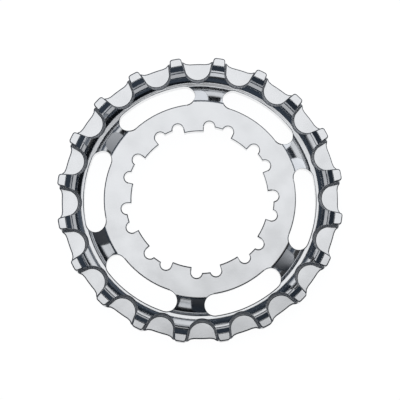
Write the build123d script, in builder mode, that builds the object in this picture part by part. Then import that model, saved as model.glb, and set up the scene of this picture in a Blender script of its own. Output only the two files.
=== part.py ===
from build123d import *
import os
from math import acos, atan2, cos, degrees, pi, radians, sin, sqrt, tan

# Belt drive sprocket for the rear wheel of a bicycle, turned and milled from one piece of steel.
# Twenty teeth reach out to both sides of a thin centre flange, which runs in the groove of the belt.
# Six windows leave six sloping spokes between the toothed rim and the splined hub disc.
# The part lies flat: its axis is Z, and Z = 0 is the middle of the centre flange.
# The mirror line +Y runs through a tooth gap, a window and a wide spline tooth. Sizes are in mm.

# Toothed rim, from the belt that it drives
belt_pitch = 11.0
tooth_count = 20
tip_to_pitch_line = 0.96
tooth_width = 11.2
tip_corner_radius = 0.62
tip_corner_chords = 3
end_face_height = 1.9

# Round-bottomed gap between two teeth, on each side of the centre flange
gap_depth = 5.7
gap_radius = 3.35
gap_flank_angle = 14.0

# Centre flange
flange_thickness = 2.0
flange_edge_drop = 1.0
flange_corner_drop = 0.3
flange_edge_fillet = 2.2

# Turned steps inside the teeth, from the end faces inwards, each with its width and its depth
bevel_width = 1.07
bevel_depth = 0.85
lip_width = 0.28
lip_depth = 0.4
ledge_width = 0.2
ledge_depth = 0.17
wall_width = 0.63
wall_depth = 1.08
hollow_width = 1.42

# Flat land of the rim, between the teeth and the windows
rim_thickness = 3.9
land_width = 1.15
land_step = 0.3

# Splined hub disc, flush with the front ends of the teeth
hub_radius = 23.6
hub_thickness = 3.5
hub_edge_chamfer = 0.15

# Sloping web between the hub disc and the rim
web_foot_width = 0.4
web_thickness = 2.6

# Windows that leave the spokes, each cut a little into the hub disc and into the land
window_count = 6
window_into_hub = 0.8
window_into_land = 0.33
window_half_angle = 22.4

# Spline for the wheel's freewheel body
spline_count = 9
spline_minor_radius = 16.24
spline_depth = 1.28
wide_tooth_half_angle = 8.15
relief_radius = 1.3
relief_start_depth = 1.14

# Values that follow from the sizes above
pitch_radius = belt_pitch * tooth_count / (2 * pi)
tip_radius = pitch_radius - tip_to_pitch_line
face_z = tooth_width / 2
flange_z = flange_thickness / 2
land_z = rim_thickness / 2
gap_bottom_radius = tip_radius - gap_depth
flange_edge_radius = tip_radius - flange_edge_drop
flange_corner_radius = tip_radius - flange_corner_drop
end_face_radius = tip_radius - end_face_height
spline_major_radius = spline_minor_radius + spline_depth
relief_start_radius = spline_minor_radius + relief_start_depth
beyond = 2.0


def polar(radius, angle):
    """Point at a radius, and at an angle in degrees from the mirror line."""
    return (radius * sin(radians(angle)), radius * cos(radians(angle)))


# Outline of one gap, seen along the axis: a round bottom and two flanks, which run on past the tips.
# It lies about the mirror line.
flank_direction = Vector(sin(radians(gap_flank_angle)), cos(radians(gap_flank_angle)))
into_tooth = Vector(flank_direction.Y, -flank_direction.X)

with BuildSketch() as gap_outline:
    with BuildLine():
        bottom = JernArc((0, gap_bottom_radius), (1, 0), gap_radius, 90 - gap_flank_angle)
        flank = Line(bottom @ 1, bottom @ 1 + flank_direction * (gap_depth + beyond))
        Line(flank @ 1, (0, (flank @ 1).Y))
        mirror(about=Plane.YZ)
    make_face()


def beside_flank(offset, radius):
    """Point at a radius, on a line that runs beside the flank, an offset into the tooth."""
    start = flank @ 0 + into_tooth * offset
    along = sqrt(radius**2 - start.dot(into_tooth) ** 2) - start.dot(flank_direction)
    return start + flank_direction * along


# The same gap where it opens out round the tip corners of its two teeth, each in a few chords
corner_centre = beside_flank(tip_corner_radius, tip_radius - tip_corner_radius)
corner_angle = degrees(atan2(corner_centre.X, corner_centre.Y))
corner_turn = 90 - gap_flank_angle + corner_angle
corner_points = []
for chord in range(tip_corner_chords + 1):
    turn = corner_angle - corner_turn * (1 - chord / tip_corner_chords)
    corner_points.append(corner_centre + Vector(*polar(tip_corner_radius, turn)))

with BuildSketch() as mouth_outline:
    with BuildLine():
        Line((0, corner_points[0].Y), corner_points[0])
        Polyline(*corner_points)
        rise = Line(corner_points[-1], polar(tip_radius + beyond, corner_angle))
        Line(rise @ 1, (0, (rise @ 1).Y))
        mirror(about=Plane.YZ)
    make_face()

# The centre flange: its edge runs round the axis in each gap and curves up to the two teeth, each
# time in two chords
dip_centre = beside_flank(-flange_edge_fillet, flange_edge_radius + flange_edge_fillet)
dip_angle = degrees(atan2(dip_centre.X, dip_centre.Y))
dip_reach = dip_centre.length**2 + flange_edge_fillet**2 - flange_corner_radius**2
dip_turn = degrees(acos(dip_reach / (2 * dip_centre.length * flange_edge_fillet)))
dip_start = polar(flange_edge_radius, dip_angle)
dip_middle = dip_centre - Vector(*polar(flange_edge_fillet, dip_angle - dip_turn / 2))
dip_end = dip_centre - Vector(*polar(flange_edge_fillet, dip_angle - dip_turn))

with BuildSketch() as flange_blank:
    Circle(flange_corner_radius)
    with BuildLine():
        JernArc((0, flange_edge_radius), (1, 0), flange_edge_radius, -dip_angle)
        Polyline(dip_start, dip_middle, dip_end)
        dip_side = Line(dip_end, dip_end + Vector(0, beyond))
        Line(dip_side @ 1, (0, (dip_side @ 1).Y))
        mirror(about=Plane.YZ)
    make_face(mode=Mode.SUBTRACT)

# What is milled out of one gap: a pocket down to the flange on each side, and all that stands past
# the flange's edge
with BuildPart() as pocket_cutter:
    with BuildSketch(Plane.XY.offset(flange_z)):
        add(gap_outline.sketch)
        add(mouth_outline.sketch)
    extrude(amount=face_z + beyond - flange_z)

with BuildPart() as flange_cutter:
    with BuildSketch():
        add(gap_outline.sketch)
        add(mouth_outline.sketch)
        add(flange_blank.sketch, mode=Mode.SUBTRACT)
    extrude(amount=face_z + beyond, both=True)

# Bore outline: nine wide teeth at the minor radius, nine narrow ones at the major radius, and a
# round relief on each side of every narrow tooth
half_period = 180 / spline_count
relief_angle = wide_tooth_half_angle + degrees(atan2(relief_radius, relief_start_radius))
relief_centre_radius = sqrt(relief_radius**2 + relief_start_radius**2)
relief_reach = relief_centre_radius**2 + spline_major_radius**2 - relief_radius**2
relief_reach /= 2 * relief_centre_radius * spline_major_radius
narrow_angle = relief_angle + degrees(acos(relief_reach))

with BuildLine() as bore_period:
    wide_tip = polar(spline_minor_radius, wide_tooth_half_angle)
    wide_side = polar(relief_start_radius, wide_tooth_half_angle)
    relief_bottom = polar(relief_centre_radius + relief_radius, relief_angle)
    narrow_tip = polar(spline_major_radius, narrow_angle)
    narrow_middle = polar(spline_major_radius, (narrow_angle + half_period) / 2)
    ThreePointArc((0, spline_minor_radius), polar(spline_minor_radius, relief_angle / 4), wide_tip)
    Line(wide_tip, wide_side)
    ThreePointArc(wide_side, relief_bottom, narrow_tip)
    ThreePointArc(narrow_tip, narrow_middle, polar(spline_major_radius, half_period))
    mirror(about=Plane.YZ)

with BuildSketch() as bore_outline:
    with BuildLine():
        with PolarLocations(0, spline_count):
            add(bore_period.line)
    make_face()

# Steps of the rim and teeth. The back has the bevel and the hollow, without the small steps.
bevel_end = (end_face_radius - bevel_width, face_z - bevel_depth)
lip_end = (bevel_end[0] - lip_width, bevel_end[1] - lip_depth)
ledge_end = (lip_end[0] - ledge_width, lip_end[1] - ledge_depth)
wall_end = (ledge_end[0] - wall_width, ledge_end[1] - wall_depth)
hollow_end = (wall_end[0] - hollow_width, land_z)
land_inner_radius = hollow_end[0] - land_width

# The web slopes back from the hub disc to the foot of the rim, and runs on inside the rim
hub_back_z = face_z - hub_thickness
web_foot = (land_inner_radius - web_foot_width, land_z - land_step)
web_slope = atan2(face_z - web_foot[1], web_foot[0] - hub_radius)


def web_front_radius(z):
    """Radius of the web's front face at a height."""
    return web_foot[0] + (web_foot[1] - z) / tan(web_slope)


def web_back_radius(z):
    """Radius of the web's back face at a height."""
    return web_front_radius(z) - web_thickness / sin(web_slope)


# Half section of the whole blank: first the rim with its teeth, then the hub disc with the web
with BuildSketch(Plane.XZ) as half_section:
    with BuildLine():
        Polyline(
            (end_face_radius, face_z),
            bevel_end,
            lip_end,
            ledge_end,
            wall_end,
            hollow_end,
            (land_inner_radius, land_z),
            (land_inner_radius, web_foot[1]),
            web_foot,
            (web_foot[0], -land_z),
            (hollow_end[0], -hollow_end[1]),
            (bevel_end[0], -bevel_end[1]),
            (end_face_radius, -face_z),
            (tip_radius, -face_z),
            (tip_radius, face_z),
            close=True,
        )
    make_face()
    with BuildLine():
        Polyline(
            (0, hub_back_z),
            (0, face_z),
            (hub_radius, face_z),
            (web_front_radius(-land_z), -land_z),
            (web_back_radius(-land_z), -land_z),
            (web_back_radius(hub_back_z), hub_back_z),
            close=True,
        )
    make_face()
    corners = half_section.vertices()
    hub_edge = corners.sort_by_distance((hub_radius, face_z))[0]
    chamfer(hub_edge, hub_edge_chamfer)

# The windows, as long round-ended slots about the axis
window_inner_radius = hub_radius - window_into_hub
window_outer_radius = land_inner_radius + window_into_land
window_width = window_outer_radius - window_inner_radius
window_middle = (window_outer_radius + window_inner_radius) / 2
window_sweep = window_half_angle - degrees(window_width / 2 / window_middle)
window_arc = CenterArc((0, 0), window_middle, 90 - window_sweep, 2 * window_sweep)

with BuildSketch() as window_outline:
    with PolarLocations(0, window_count):
        SlotArc(window_arc, window_width)

# The sprocket: a turned blank, with the gaps, the windows and the splined bore cut from it
with BuildPart() as sprocket:
    add(half_section.sketch)
    revolve(axis=Axis.Z)
    with PolarLocations(0, tooth_count):
        add(flange_cutter.part, mode=Mode.SUBTRACT)
    with PolarLocations(0, tooth_count):
        add(pocket_cutter.part, mode=Mode.SUBTRACT)
    with PolarLocations(0, tooth_count):
        add(mirror(pocket_cutter.part, about=Plane.XY, mode=Mode.PRIVATE), mode=Mode.SUBTRACT)
    add(window_outline.sketch)
    extrude(amount=face_z + beyond, both=True, mode=Mode.SUBTRACT)
    add(bore_outline.sketch)
    extrude(amount=face_z + beyond, both=True, mode=Mode.SUBTRACT)

sprocket.part.label = "sprocket"

os.makedirs("parts", exist_ok=True)
export_step(sprocket.part, "parts/sprocket.step")
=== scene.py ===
# %% [markdown]
# # A belt drive sprocket in bright steel
#
# This lesson dresses a bicycle's rear belt sprocket, which is one piece of turned and milled steel.
# Its shape comes from the frame, at real size. What is made here is the fine rounding that a
# machinist's cutter leaves, the finish of the metal, and a small studio for it.

# %% Load the frame
from math import acos, atan2, cos, pi, radians, sin, sqrt

import bpy
from mathutils import Matrix, Vector


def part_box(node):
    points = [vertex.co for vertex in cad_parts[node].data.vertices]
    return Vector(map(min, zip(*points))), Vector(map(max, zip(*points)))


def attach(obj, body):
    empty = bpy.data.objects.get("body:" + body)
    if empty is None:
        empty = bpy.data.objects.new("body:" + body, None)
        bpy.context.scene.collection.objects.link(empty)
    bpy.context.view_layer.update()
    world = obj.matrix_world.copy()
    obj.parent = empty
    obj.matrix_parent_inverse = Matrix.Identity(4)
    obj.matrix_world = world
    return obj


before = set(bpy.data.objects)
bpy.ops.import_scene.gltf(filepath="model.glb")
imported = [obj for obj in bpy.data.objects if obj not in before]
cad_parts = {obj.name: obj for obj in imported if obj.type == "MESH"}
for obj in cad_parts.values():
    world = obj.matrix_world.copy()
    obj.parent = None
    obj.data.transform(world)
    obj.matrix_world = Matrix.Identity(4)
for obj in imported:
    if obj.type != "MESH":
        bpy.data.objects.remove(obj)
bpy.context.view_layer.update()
MM = 0.001

# %% [markdown]
# ## The camera
#
# The photograph looks down on the sprocket from a little below its middle, through a long lens.
# The camera could be turned by hand until it looks right. Here it is built from the three
# directions of the picture instead: it stands an eleventh of its distance towards the picture's
# lower edge, and the picture's upward direction lies in the plane of the sprocket.

# %% Place the camera
PHOTO_TURN = radians(35)
PHOTO_SIDE = 400
PIXELS_PER_METRE = 4215
CAMERA_DISTANCE = 0.5
CAMERA_LEAN = 0.09
AIM_RIGHT = 0.04 * MM
AIM_UP = -0.2 * MM
SENSOR_WIDTH = 36.0

face_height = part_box("sprocket")[1].z
picture_right = Vector((cos(PHOTO_TURN), sin(PHOTO_TURN), 0))
picture_up = Vector((-sin(PHOTO_TURN), cos(PHOTO_TURN), 0))
front_centre = Vector((0, 0, face_height))
aim = front_centre + picture_right * AIM_RIGHT + picture_up * AIM_UP
eye = front_centre + CAMERA_DISTANCE * (Vector((0, 0, 1)) - CAMERA_LEAN * picture_up)
backward = (eye - aim).normalized()
sideways = picture_up.cross(backward).normalized()
upward = backward.cross(sideways)
facing = Matrix((sideways, upward, backward)).transposed().to_4x4()

camera_data = bpy.data.cameras.new("camera")
camera_data.sensor_width = SENSOR_WIDTH
camera_data.lens = SENSOR_WIDTH * (eye - aim).length * PIXELS_PER_METRE / PHOTO_SIDE
camera = bpy.data.objects.new("camera", camera_data)
bpy.context.scene.collection.objects.link(camera)
camera.matrix_world = Matrix.Translation(eye) @ facing
bpy.context.scene.camera = camera
print("lens in mm:", round(camera_data.lens, 1))

# %% [markdown]
# ## Short ways to add nodes
#
# The room, the floor and the steel are all graphs of nodes. Each node could be added and linked
# in four or five lines. These helpers do it in one, so that a graph reads like a formula.

# %% Make nodes easy to add
def add_node(tree, kind, inputs=(), **settings):
    """Adds one node. Each input, by name or number, is a plain value or another node's output."""
    node = tree.nodes.new(kind)
    for name, value in settings.items():
        setattr(node, name, value)
    for name, value in dict(inputs).items():
        if isinstance(value, bpy.types.NodeSocket):
            tree.links.new(value, node.inputs[name])
        else:
            node.inputs[name].default_value = value
    return node


def math_node(tree, operation, *values):
    """Result of one calculation with numbers."""
    return add_node(tree, "ShaderNodeMath", enumerate(values), operation=operation).outputs[0]


def vector_node(tree, operation, *values, result="Vector"):
    """Result of one calculation with vectors: a vector or, where the result is Value, a number."""
    node = add_node(tree, "ShaderNodeVectorMath", enumerate(values), operation=operation)
    return node.outputs[result]


print("helpers:", [helper.__name__ for helper in (add_node, math_node, vector_node)])

# %% [markdown]
# ## The room
#
# Bright metal has hardly a colour of its own: it shows what is round it. The flat faces here
# mirror a pale ceiling, and every slope mirrors dark walls, which gives the dark bands. The room
# could be built from boards, but their edges would show in the metal. Here the sky is the room: a
# ramp that runs from slate walls to a pale ceiling as a direction points higher. The ceiling
# reaches lower on the picture's right, so that rounds which face that way are grey and not black.

# %% Build the room as a world
ROOM_TONES = [(0.0, 0.032), (0.5, 0.065), (0.85, 0.13), (0.965, 1.0)]
WALL_TINT = (0.55, 0.73, 1.0)
CEILING_TINT = (0.98, 0.988, 1.0)
LOW_SIDE_SLANT = 0.35
LOW_SIDE_REACH = 0.28


def room_colour(tone):
    """Colour of a tone of the room: bluish where it is dark, and nearly white where it is pale."""
    tints = zip(WALL_TINT, CEILING_TINT)
    return (*(tone * (wall + tone * (ceiling - wall)) for wall, ceiling in tints), 1)


world = bpy.data.worlds.new("room")
bpy.context.scene.world = world
world.use_nodes = True
room_tree = world.node_tree
room_tree.nodes.clear()
direction = add_node(room_tree, "ShaderNodeTexCoord").outputs["Generated"]
upness = add_node(room_tree, "ShaderNodeSeparateXYZ", {0: direction}).outputs["Z"]
low_side = (LOW_SIDE_SLANT * picture_up + picture_right).normalized()
rightness = vector_node(room_tree, "DOT_PRODUCT", direction, low_side, result="Value")
room_height = math_node(room_tree, "MULTIPLY_ADD", rightness, LOW_SIDE_REACH, upness)

room = add_node(room_tree, "ShaderNodeValToRGB", {0: room_height})
ramp = room.color_ramp
ramp.interpolation = "EASE"
for stop_height, tone in ROOM_TONES[1:-1]:
    ramp.elements.new(stop_height)
for stop, (stop_height, tone) in zip(ramp.elements, ROOM_TONES):
    stop.position = stop_height
    stop.color = room_colour(tone)
print("room tones from the floor up:", ROOM_TONES)

# %% [markdown]
# ## The dark side of the ceiling
#
# The faces at the bottom of the photograph are a little darker than the others, because they
# mirror the side of the room where the camera stands. A dark board could hang there. Here the
# strength of the sky does the same: it drops along a soft line overhead, and only above the walls.
# The whole room is also up to a tenth dimmer on the picture's right than in its middle.

# %% Dim one side of the ceiling
DARK_SIDE_SLANT = -0.15
DARK_SIDE_PLACES = (-0.058, 0.072)
DARK_SIDE_STRENGTH = 0.06
WALLS_END = 0.6
ROOM_SWING = -0.1


def range_node(tree, value, places, results, course="LINEAR"):
    """Runs from the first result to the second while the value passes the two places."""
    names = ("Value", "From Min", "From Max", "To Min", "To Max")
    inputs = zip(names, (value, *places, *results))
    return add_node(tree, "ShaderNodeMapRange", inputs, interpolation_type=course).outputs[0]


far_side = (picture_up + DARK_SIDE_SLANT * picture_right).normalized()
farness = vector_node(room_tree, "DOT_PRODUCT", direction, far_side, result="Value")
side_strengths = (DARK_SIDE_STRENGTH, 1.0)
overhead_strength = range_node(room_tree, farness, DARK_SIDE_PLACES, side_strengths, "SMOOTHSTEP")
wall_strength = math_node(room_tree, "LESS_THAN", room_height, WALLS_END)
room_strength = math_node(room_tree, "MAXIMUM", overhead_strength, wall_strength)
room_swing = math_node(room_tree, "MULTIPLY_ADD", rightness, ROOM_SWING, 1.0)
room_strength = math_node(room_tree, "MULTIPLY", room_strength, room_swing)
room_light = {"Color": room.outputs["Color"], "Strength": room_strength}
background = add_node(room_tree, "ShaderNodeBackground", room_light).outputs[0]
add_node(room_tree, "ShaderNodeOutputWorld", {"Surface": background})
print("the ceiling drops to a strength of", DARK_SIDE_STRENGTH, "on its dark side")

# %% [markdown]
# ## The wide lamps
#
# The room alone lights a plain surface weakly. Three wide, soft lamps bring that light up to a
# normal level and give the floor its soft shadow. They could be left to show in the metal as
# bright squares. They are hidden from glossy rays instead, because the metal has its room.

# %% Add the wide lamps
LAMP_SIDE = 0.5
LAMP_HEIGHT = 0.5
LAMP_SHIFT = 0.5
OVERHEAD_POWER = 2.2
SIDE_POWER = 1.2


def wide_lamp(name, place, power):
    """A square lamp that faces the sprocket and stays out of the metal's reflections."""
    data = bpy.data.lights.new(name, "AREA")
    data.size = LAMP_SIDE
    data.energy = power
    lamp = bpy.data.objects.new(name, data)
    bpy.context.scene.collection.objects.link(lamp)
    lamp.location = place
    lamp.rotation_mode = "QUATERNION"
    lamp.rotation_quaternion = place.to_track_quat("Z", "Y")
    lamp.visible_glossy = False
    return lamp


overhead = Vector((0, 0, LAMP_HEIGHT))
lamps = [
    wide_lamp("lamp_over", overhead, OVERHEAD_POWER),
    wide_lamp("lamp_left", overhead - LAMP_SHIFT * picture_right, SIDE_POWER),
    wide_lamp("lamp_top", overhead + LAMP_SHIFT * picture_up, SIDE_POWER),
]
print("lamps:", [lamp.name for lamp in lamps])

# %% [markdown]
# ## The floor
#
# The sprocket lies on a plain white table. A box could stand for it, but only its top is ever
# seen, so one large square under the sprocket's lowest points is enough.

# %% Lay the floor
FLOOR_SIDE = 6.0

half_side = FLOOR_SIDE / 2
floor_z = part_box("sprocket")[0].z
floor_corners = [(-half_side, -half_side), (half_side, -half_side)]
floor_corners += [(half_side, half_side), (-half_side, half_side)]
floor_mesh = bpy.data.meshes.new("floor")
floor_mesh.from_pydata([(x, y, floor_z) for x, y in floor_corners], [], [(0, 1, 2, 3)])
floor = bpy.data.objects.new("floor", floor_mesh)
bpy.context.scene.collection.objects.link(floor)
print("floor at", round(floor_z / MM, 2), "mm")

# %% [markdown]
# ## The white of the table
#
# A white surface renders a little grey. More light could whiten it, but would burn out the metal.
# So the camera sees a glow of the table's own, and a dark matt share keeps the soft shadow. The
# metal sees another glow, with painted light and shade on it: a painted pool of light, white near
# the sprocket, a painted shade at its middle, and a fade to a bluish glow farther off, which is
# painted bright only towards the picture's upper right. Light Path tells the two kinds of ray
# apart.

# %% Make the table's material
MATT_COLOUR = (0.051, 0.054, 0.06)
FLOOR_GLOW = 0.96
SHADE_GLOW = 0.45
SHADE_RADII = (14 * MM, 15.8 * MM)
NEAR_GLOW = 0.9
NEAR_RADII = (30 * MM, 45 * MM)
FAR_GLOW = 0.22
FAR_SWING = 0.75
FAR_SWING_SLANT = 0.6
FAR_SWING_LENGTH = 0.08
NEAR_TINT = (1, 1, 1)
FAR_TINT = (0.94, 0.963, 1.0)


def mix_colours(tree, share, first, second):
    """Colour that lies between two others."""
    inputs = {0: share, 1: (*first, 1), 2: (*second, 1)}
    return add_node(tree, "ShaderNodeMixRGB", inputs).outputs[0]


table = bpy.data.materials.new("white_table")
table.use_nodes = True
table_tree = table.node_tree
table_tree.nodes.clear()
rays = add_node(table_tree, "ShaderNodeLightPath").outputs
seen = math_node(table_tree, "MAXIMUM", rays["Is Camera Ray"], rays["Is Transmission Ray"])
seen = math_node(table_tree, "MULTIPLY", seen, FLOOR_GLOW)

floor_place = add_node(table_tree, "ShaderNodeNewGeometry").outputs["Position"]
distance = vector_node(table_tree, "LENGTH", floor_place, result="Value")
# Painted shade under the sprocket's middle and a painted pool of light round it, seen by the metal.
shade = range_node(table_tree, distance, SHADE_RADII, (SHADE_GLOW, NEAR_GLOW), "SMOOTHSTEP")
near = range_node(table_tree, distance, NEAR_RADII, (shade, 0.0), "SMOOTHSTEP")
# Painted light: the far table glows brighter towards the picture's upper right, for the metal.
painted_light_side = (picture_up + FAR_SWING_SLANT * picture_right).normalized() / FAR_SWING_LENGTH
painted_light_share = vector_node(table_tree, "DOT_PRODUCT", floor_place, painted_light_side, result="Value")
painted_light_share = math_node(table_tree, "MINIMUM", painted_light_share, 1.0)
far = math_node(table_tree, "MULTIPLY_ADD", painted_light_share, FAR_SWING, FAR_GLOW)
mirrored = math_node(table_tree, "MAXIMUM", far, near)
glow_strength = math_node(table_tree, "MULTIPLY_ADD", rays["Is Glossy Ray"], mirrored, seen)
far_share = math_node(table_tree, "DIVIDE", near, -NEAR_GLOW)
far_share = math_node(
    table_tree, "MULTIPLY_ADD", far_share, rays["Is Glossy Ray"], rays["Is Glossy Ray"]
)
glow_tint = mix_colours(table_tree, far_share, NEAR_TINT, FAR_TINT)

glow_inputs = {"Color": glow_tint, "Strength": glow_strength}
glow = add_node(table_tree, "ShaderNodeEmission", glow_inputs).outputs[0]
matt = add_node(table_tree, "ShaderNodeBsdfDiffuse", {"Color": (*MATT_COLOUR, 1)}).outputs[0]
matt_and_glow = add_node(table_tree, "ShaderNodeAddShader", {0: matt, 1: glow}).outputs[0]
add_node(table_tree, "ShaderNodeOutputMaterial", {"Surface": matt_and_glow})
floor_mesh.materials.append(table)
print("the table glows", FLOOR_GLOW, "for the camera and up to", NEAR_GLOW, "for near metal")

# %% [markdown]
# ## The hollow inside the teeth
#
# Inside the teeth the rim is turned to a hollow with a curved section. The frame has a straight
# slope there, which is off by a tenth of a millimetre or so, but bright metal shows it at once.
# The curve could be cut into the mesh, but the frame's mesh stays as it is. So a bump leans the
# shading, and its rise over the hollow's width is a formula, in units of a tenth of a millimetre.

# %% Curve the hollow
LEAN_UNIT = 0.1 * MM
HOLLOW_RADII = (28.554 * MM, 29.974 * MM)
HOLLOW_LEAN = 0.9
HOLLOW_CURVE = 0.7


def hollow_rise(tree, radius):
    """Rise of the hollow over its width, in lean units."""
    middle = (HOLLOW_RADII[0] + HOLLOW_RADII[1]) / 2
    half_width = (HOLLOW_RADII[1] - HOLLOW_RADII[0]) / 2
    across = math_node(tree, "SUBTRACT", radius, middle)
    across = math_node(tree, "DIVIDE", across, half_width)
    across = math_node(tree, "MINIMUM", across, 1.0)
    across = math_node(tree, "MAXIMUM", across, -1.0)
    rise = math_node(tree, "MULTIPLY_ADD", across, HOLLOW_CURVE, -HOLLOW_LEAN)
    return math_node(tree, "MULTIPLY", across, rise)


print("hollow width in mm:", round((HOLLOW_RADII[1] - HOLLOW_RADII[0]) / MM, 2))

# %% [markdown]
# ## The web, its foot and the land
#
# What the sloping web mirrors in the photograph tells that it grows a little flatter towards its
# foot, and that the foot runs into it like a fillet. The flat land of the rim seems to fall a
# little to the inside. The frame could have these shapes, but one photograph doesn't tell them
# well enough for that. The same bump carries them instead, with a lean for each face.

# %% Lean the web, its foot and the land
WEB_RADII = (23.6 * MM, 27.0 * MM)
WEB_NORMAL_HEIGHT = 0.653
WEB_LEANS = (radians(1.5), radians(4.5))
LAND_RADIUS = 28.0 * MM
LAND_LEAN = radians(4.5)
FOOT_LEAN = radians(-22)


def web_rise(tree, radius):
    """Rise of the web, in lean units. A slope is longer than its radii tell."""
    width = WEB_RADII[1] - WEB_RADII[0]
    outward = math_node(tree, "SUBTRACT", radius, WEB_RADII[0])
    outward = math_node(tree, "DIVIDE", outward, width)
    growth = (WEB_LEANS[1] - WEB_LEANS[0]) / 2
    rise = math_node(tree, "MULTIPLY_ADD", outward, growth, WEB_LEANS[0])
    rise = math_node(tree, "MULTIPLY", outward, rise)
    return math_node(tree, "MULTIPLY", rise, width / WEB_NORMAL_HEIGHT / LEAN_UNIT)


def even_rise(tree, radius, lean):
    """Rise of a flat face that leans evenly, in lean units."""
    outward = math_node(tree, "SUBTRACT", radius, LAND_RADIUS)
    return math_node(tree, "MULTIPLY", outward, lean / LEAN_UNIT)


print("the web leans by", [round(lean, 3) for lean in WEB_LEANS], "radians, inside and outside")

# %% [markdown]
# ## Which face is which
#
# A bump has to know on which face it is. The faces could have materials of their own, but the
# frame's mesh stays as it is. They differ in slope and in height, so the shading tells them apart
# by that: the height of the normal is 1 on a flat face that looks up, 0 on a wall, and in between
# on a slope.

# %% Tell the faces apart and lean them
# Each pair is a middle value, and how far from it a face may be.
HOLLOW_SLOPE = (0.777, 0.06)
WEB_SLOPE = (WEB_NORMAL_HEIGHT, 0.03)
LAND_HEIGHT = (1.95 * MM, 0.1 * MM)
FOOT_HEIGHT = (1.65 * MM, 0.1 * MM)


def flat_at(tree, flat, height, level):
    """Picks the flat faces at one height."""
    return math_node(tree, "MULTIPLY", math_node(tree, "COMPARE", height, *level), flat)


def leaning_normal(tree, radius, slope, on_land, on_foot):
    """Normal with the leans of all four faces."""
    on_hollow = math_node(tree, "COMPARE", slope, *HOLLOW_SLOPE)
    on_web = math_node(tree, "COMPARE", slope, *WEB_SLOPE)
    rise = math_node(tree, "MULTIPLY", hollow_rise(tree, radius), on_hollow)
    rise = math_node(tree, "MULTIPLY_ADD", web_rise(tree, radius), on_web, rise)
    rise = math_node(tree, "MULTIPLY_ADD", even_rise(tree, radius, LAND_LEAN), on_land, rise)
    rise = math_node(tree, "MULTIPLY_ADD", even_rise(tree, radius, FOOT_LEAN), on_foot, rise)
    inputs = {"Strength": 1.0, "Distance": LEAN_UNIT, "Height": rise}
    return add_node(tree, "ShaderNodeBump", inputs).outputs[0]


print("land and foot in mm:", [round(pair[0] / MM, 2) for pair in (LAND_HEIGHT, FOOT_HEIGHT)])

# %% [markdown]
# ## Edges with a hair of rounding
#
# No edge of a real part is quite sharp, and on bright steel each one draws a thin dark line. Real
# rounds on every edge would take a great many faces, so a Bevel node bends the normal beside the
# edges. Flat faces get a wider round than the others, apart from the narrow foot. The bend is
# doubled, so that the line is as dark as on a tumbled edge.

# %% Round the edges
FLAT_LIMIT = 0.99
FACE_EDGE_ROUND = 0.4 * MM
WALL_EDGE_ROUND = 0.12 * MM
EDGE_TURN = 2.0
EDGE_SAMPLES = 16


def rounded_edges(tree, normal, wide):
    """Normal that turns away beside the edges, over a wider round where wide is 1."""
    wider = FACE_EDGE_ROUND - WALL_EDGE_ROUND
    edge_round = math_node(tree, "MULTIPLY_ADD", wide, wider, WALL_EDGE_ROUND)
    inputs = {"Radius": edge_round, "Normal": normal}
    edge = add_node(tree, "ShaderNodeBevel", inputs, samples=EDGE_SAMPLES).outputs[0]
    bend = vector_node(tree, "SUBTRACT", edge, normal)
    return vector_node(tree, "MULTIPLY_ADD", bend, (EDGE_TURN, EDGE_TURN, EDGE_TURN), normal)


def face_normal(tree, radius, height):
    """Normal with the leans of the faces and the rounded edges."""
    true_normal = add_node(tree, "ShaderNodeNewGeometry").outputs["True Normal"]
    slope = add_node(tree, "ShaderNodeSeparateXYZ", {0: true_normal}).outputs["Z"]
    upright = math_node(tree, "ABSOLUTE", slope)
    flat = math_node(tree, "GREATER_THAN", upright, FLAT_LIMIT)
    on_land = flat_at(tree, flat, height, LAND_HEIGHT)
    on_foot = flat_at(tree, flat, height, FOOT_HEIGHT)
    leaning = leaning_normal(tree, radius, slope, on_land, on_foot)
    return rounded_edges(tree, leaning, math_node(tree, "SUBTRACT", flat, on_foot))


print("edge rounds in mm:", round(FACE_EDGE_ROUND / MM, 2), "and", round(WALL_EDGE_ROUND / MM, 2))

# %% [markdown]
# ## Rings, grain and waves
#
# A turned face keeps the faintest rings from the lathe. Tumbling leaves a fine grain, and plating
# is never quite even, so that reflections waver. A picture of scratches could be laid on the
# faces, but it would show its seams and its repeats. Three noises make the relief here. The rings
# are a noise that knows only the radius and the height.

# %% Make the fine relief
RING_SCALE = 9000
RING_SHARE = 0.35
GRAIN_SCALE = 2500
WAVE_SCALE = 110
WAVE_SHARE = 40.0


def noise(tree, place, scale, detail):
    """Soft random values between 0 and 1."""
    inputs = {"Vector": place, "Scale": scale, "Detail": detail}
    return add_node(tree, "ShaderNodeTexNoise", inputs).outputs["Fac"]


def fine_relief(tree, place, radius, height):
    """Height of the rings round the axis, the grain and the slow waves together."""
    ring_place = add_node(tree, "ShaderNodeCombineXYZ", {"X": radius, "Z": height}).outputs[0]
    rings = noise(tree, ring_place, RING_SCALE, 2)
    grain = noise(tree, place, GRAIN_SCALE, 3)
    relief = math_node(tree, "MULTIPLY_ADD", rings, RING_SHARE, grain)
    waves = noise(tree, place, WAVE_SCALE, 0)
    return math_node(tree, "MULTIPLY_ADD", waves, WAVE_SHARE, relief)


print("one wave is about", round(1 / WAVE_SCALE / MM, 1), "mm long")

# %% [markdown]
# ## The steel
#
# The real part is turned, milled, tumbled and plated, so it is bright but not a perfect mirror.
# With a single roughness it would look like plastic wrap, so the roughness and the tone wander in
# soft clouds. The rounds that the milling cutter leaves are duller than the turned faces, so the
# same recipe makes two steels.

# %% Mix the steel
STEEL_TINT = (0.825, 0.835, 0.85)
CLOUD_TONE = 0.93
CLOUD_SCALE = 180
CLOUD_RANGE = (0.3, 0.7)
RELIEF_HEIGHT = 0.0012 * MM
TURNED_ROUGHNESS = (0.09, 0.17)
TURNED_METAL = 1.0
MILLED_ROUGHNESS = (0.4, 0.5)
MILLED_METAL = 0.9


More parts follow.
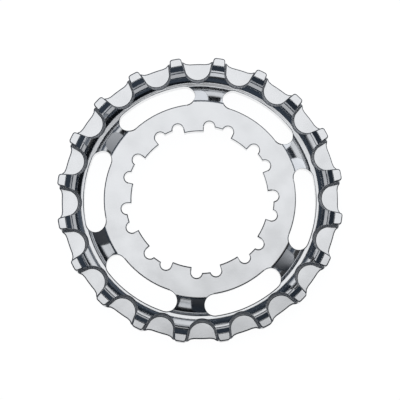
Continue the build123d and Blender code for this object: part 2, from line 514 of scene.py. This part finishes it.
def steel_material(name, roughness_range, metal):
    """Plated steel with a wandering roughness, a fine relief and slightly rounded edges."""
    material = bpy.data.materials.new(name)
    material.use_nodes = True
    tree = material.node_tree
    place = add_node(tree, "ShaderNodeTexCoord").outputs["Object"]
    parts = add_node(tree, "ShaderNodeSeparateXYZ", {0: place}).outputs
    square = math_node(tree, "MULTIPLY", parts["X"], parts["X"])
    square = math_node(tree, "MULTIPLY_ADD", parts["Y"], parts["Y"], square)
    radius = math_node(tree, "SQRT", square)

    clouds = noise(tree, place, CLOUD_SCALE, 4)
    roughness = range_node(tree, clouds, CLOUD_RANGE, roughness_range)
    tint = mix_colours(tree, clouds, STEEL_TINT, [CLOUD_TONE * part for part in STEEL_TINT])
    inputs = {
        "Strength": 1.0,
        "Distance": RELIEF_HEIGHT,
        "Height": fine_relief(tree, place, radius, parts["Z"]),
        "Normal": face_normal(tree, radius, parts["Z"]),
    }
    normal = add_node(tree, "ShaderNodeBump", inputs).outputs[0]

    shader = tree.nodes["Principled BSDF"]
    shader.inputs["Metallic"].default_value = metal
    tree.links.new(tint, shader.inputs["Base Color"])
    tree.links.new(roughness, shader.inputs["Roughness"])
    tree.links.new(normal, shader.inputs["Normal"])
    return material


turned_steel = steel_material("turned_steel", TURNED_ROUGHNESS, TURNED_METAL)
milled_steel = steel_material("milled_steel", MILLED_ROUGHNESS, MILLED_METAL)
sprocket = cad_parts["sprocket"]
for slot in sprocket.material_slots:
    slot.material = turned_steel
print("steel on", sprocket.name, "with", len(sprocket.data.polygons), "faces")

# %% [markdown]
# ## The rounds at the gap floors
#
# The cutter that mills a gap has a rounded end, so the wall of each U runs into the flange in a
# small hollow round. The frame leaves that round out, because it would take many thousand faces.
# A Bevel node could fake it, but a fillet this large has a visible shape. It is made as a real
# strip instead: a quarter round, carried along the U. Its sizes are those of the frame: the teeth
# are 11 mm apart along the belt's pitch line, and each gap is milled from both sides down to a
# thin centre flange. Angles are counted from +Y, which runs through a gap.

# %% Name the sizes of a gap
TOOTH_COUNT = 20
BELT_PITCH = 11.0 * MM
TIP_TO_PITCH_LINE = 0.96 * MM
GAP_DEPTH = 5.7 * MM
GAP_RADIUS = 3.35 * MM
FLANK_ANGLE = radians(14)
FLANGE_HALF = 1.0 * MM
FLANGE_EDGE_DROP = 1.0 * MM
FLANGE_CORNER_DROP = 0.3 * MM
FLANGE_EDGE_ROUND = 2.2 * MM

pitch_radius = BELT_PITCH * TOOTH_COUNT / (2 * pi)
tip_radius = pitch_radius - TIP_TO_PITCH_LINE
gap_bottom_radius = tip_radius - GAP_DEPTH
flange_edge_radius = tip_radius - FLANGE_EDGE_DROP
flange_corner_radius = tip_radius - FLANGE_CORNER_DROP
print("pitch radius in mm:", round(pitch_radius / MM, 3), "tip radius:", round(tip_radius / MM, 3))

# %% [markdown]
# ## The outline of one gap
#
# Seen along the axis, a gap has a round bottom and two flanks. The strip ends where the flank
# meets the flange's edge, which curves up to the tooth. The ends could be cut off with a boolean
# modifier, but that leaves ragged faces. Here every line of the strip is worked out to its right
# length, so the flank and the flange's edge come first.

# %% Find the outline of one gap
EDGE_TOLERANCE = 1e-6

flank_direction = Vector((sin(FLANK_ANGLE), cos(FLANK_ANGLE)))
into_tooth = Vector((flank_direction.y, -flank_direction.x))
gap_centre = Vector((0, gap_bottom_radius + GAP_RADIUS))
flank_start = gap_centre + GAP_RADIUS * into_tooth


def beside_flank(offset, radius):
    """Point at a radius from the axis, on the flank's line moved by an offset into the tooth."""
    start = flank_start + into_tooth * offset
    along = sqrt(radius**2 - start.dot(into_tooth) ** 2) - start.dot(flank_direction)
    return start + flank_direction * along


def at_angle(radius, angle):
    """Point at a radius and at an angle from +Y."""
    return Vector((radius * sin(angle), radius * cos(angle)))


dip_centre = beside_flank(-FLANGE_EDGE_ROUND, flange_edge_radius + FLANGE_EDGE_ROUND)
dip_angle = atan2(dip_centre.x, dip_centre.y)
dip_reach = dip_centre.length_squared + FLANGE_EDGE_ROUND**2 - flange_corner_radius**2
dip_turn = acos(dip_reach / (2 * dip_centre.length * FLANGE_EDGE_ROUND))
flange_edge = [
    at_angle(flange_edge_radius, dip_angle),
    dip_centre - at_angle(FLANGE_EDGE_ROUND, dip_angle - dip_turn / 2),
    dip_centre - at_angle(FLANGE_EDGE_ROUND, dip_angle - dip_turn),
    beside_flank(0, flange_corner_radius),
]


def reach_to_edge(offset):
    """Length of the flank's line, moved by an offset into the gap, up to the flange's edge."""
    start = flank_start - into_tooth * offset
    for low, high in zip(flange_edge, flange_edge[1:]):
        step = high - low
        share = (start - low).dot(into_tooth) / step.dot(into_tooth)
        if -EDGE_TOLERANCE <= share <= 1 + EDGE_TOLERANCE:
            return (low + share * step - start).dot(flank_direction)
    return (flange_edge[0] - start).dot(flank_direction)


print("flange edge radii in mm:", [round(point.length / MM, 2) for point in flange_edge])

# %% [markdown]
# ## One strip
#
# A curve with a bevel could sweep the round along the U, but its ends couldn't follow the
# flange's edge. The strip is a grid of lines instead, which all run along the U, each a little
# farther round the quarter circle than the last. It is wider at the bottom of the U than at the
# flanks. One more line, sunk into the steel behind the corner, closes it to a solid bar.

# %% Draw the lines of one strip
FLANK_ROUND = 0.45 * MM
BOTTOM_ROUND = 0.85 * MM
ARC_STEPS = 24
ROUND_STEPS = 8
SINK = 0.1


def gap_line(across, up):
    """One line of the round along the U: a share of the round's radius in from the wall, and up."""
    sweep = pi / 2 - FLANK_ANGLE
    line = []
    for step in range(ARC_STEPS + 1):
        turn = sweep * (1 - 2 * step / ARC_STEPS)
        bottom_share = (cos(turn) - cos(sweep)) / (1 - cos(sweep))
        size = FLANK_ROUND + (BOTTOM_ROUND - FLANK_ROUND) * bottom_share
        point = gap_centre - at_angle(GAP_RADIUS - size * across, turn)
        line.append((point.x, point.y, FLANGE_HALF + size * up))
    end_height = line[-1][2]
    end = Vector(line[-1][:2]) + flank_direction * reach_to_edge(max(across, 0) * FLANK_ROUND)
    return [(-end.x, end.y, end_height), *line, (end.x, end.y, end_height)]


round_turns = [step * pi / 2 / ROUND_STEPS for step in range(ROUND_STEPS + 1)]
strip_lines = [gap_line(1 - sin(turn), 1 - cos(turn)) for turn in round_turns]
strip_lines.append(gap_line(-SINK, -SINK))
print("one strip:", len(strip_lines), "lines of", len(strip_lines[0]), "points")

# %% [markdown]
# ## All the strips
#
# Every gap has a strip on both sides of the flange. They could be 40 objects, or one with an array
# modifier. One plain mesh is the simplest to hand on, so the strip's points are turned from gap to
# gap and mirrored. The mesh then rides on the sprocket's body.

# %% Make the strips
SHARP_ANGLE = radians(35)

row_count = len(strip_lines[0])
points, faces = [], []
for gap in range(TOOTH_COUNT):
    gap_turn = Matrix.Rotation(gap * 2 * pi / TOOTH_COUNT, 2)
    for side in (1, -1):
        line_starts = [len(points) + line * row_count for line in range(len(strip_lines))]
        for x, y, z in (point for line in strip_lines for point in line):
            placed = gap_turn @ Vector((x, y))
            points.append((placed.x, placed.y, side * z))
        for start, beside in zip(line_starts, line_starts[1:] + line_starts[:1]):
            for row in range(row_count - 1):
                faces.append((start + row, start + row + 1, beside + row + 1, beside + row))
        faces.append(line_starts)
        faces.append([start + row_count - 1 for start in line_starts])

rounds_mesh = bpy.data.meshes.new("gap_floor_rounds")
rounds_mesh.from_pydata(points, [], faces)
gap_rounds = bpy.data.objects.new("gap_floor_rounds", rounds_mesh)
bpy.context.scene.collection.objects.link(gap_rounds)
bpy.context.view_layer.objects.active = gap_rounds
bpy.ops.object.mode_set(mode="EDIT")
bpy.ops.mesh.select_all(action="SELECT")
bpy.ops.mesh.normals_make_consistent(inside=False)
bpy.ops.object.mode_set(mode="OBJECT")
rounds_mesh.shade_smooth()
rounds_mesh.set_sharp_from_angle(angle=SHARP_ANGLE)
rounds_mesh.materials.append(milled_steel)
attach(gap_rounds, "root")
print("gap rounds:", 2 * TOOTH_COUNT, "strips,", len(faces), "faces")

# %% [markdown]
# ## Plain colours
#
# A filmic view would turn the white table grey and soften the metal. The standard view shows the
# colours as they are, which suits a product picture.

# %% Show plain colours and finish
bpy.context.scene.view_settings.view_transform = "Standard"
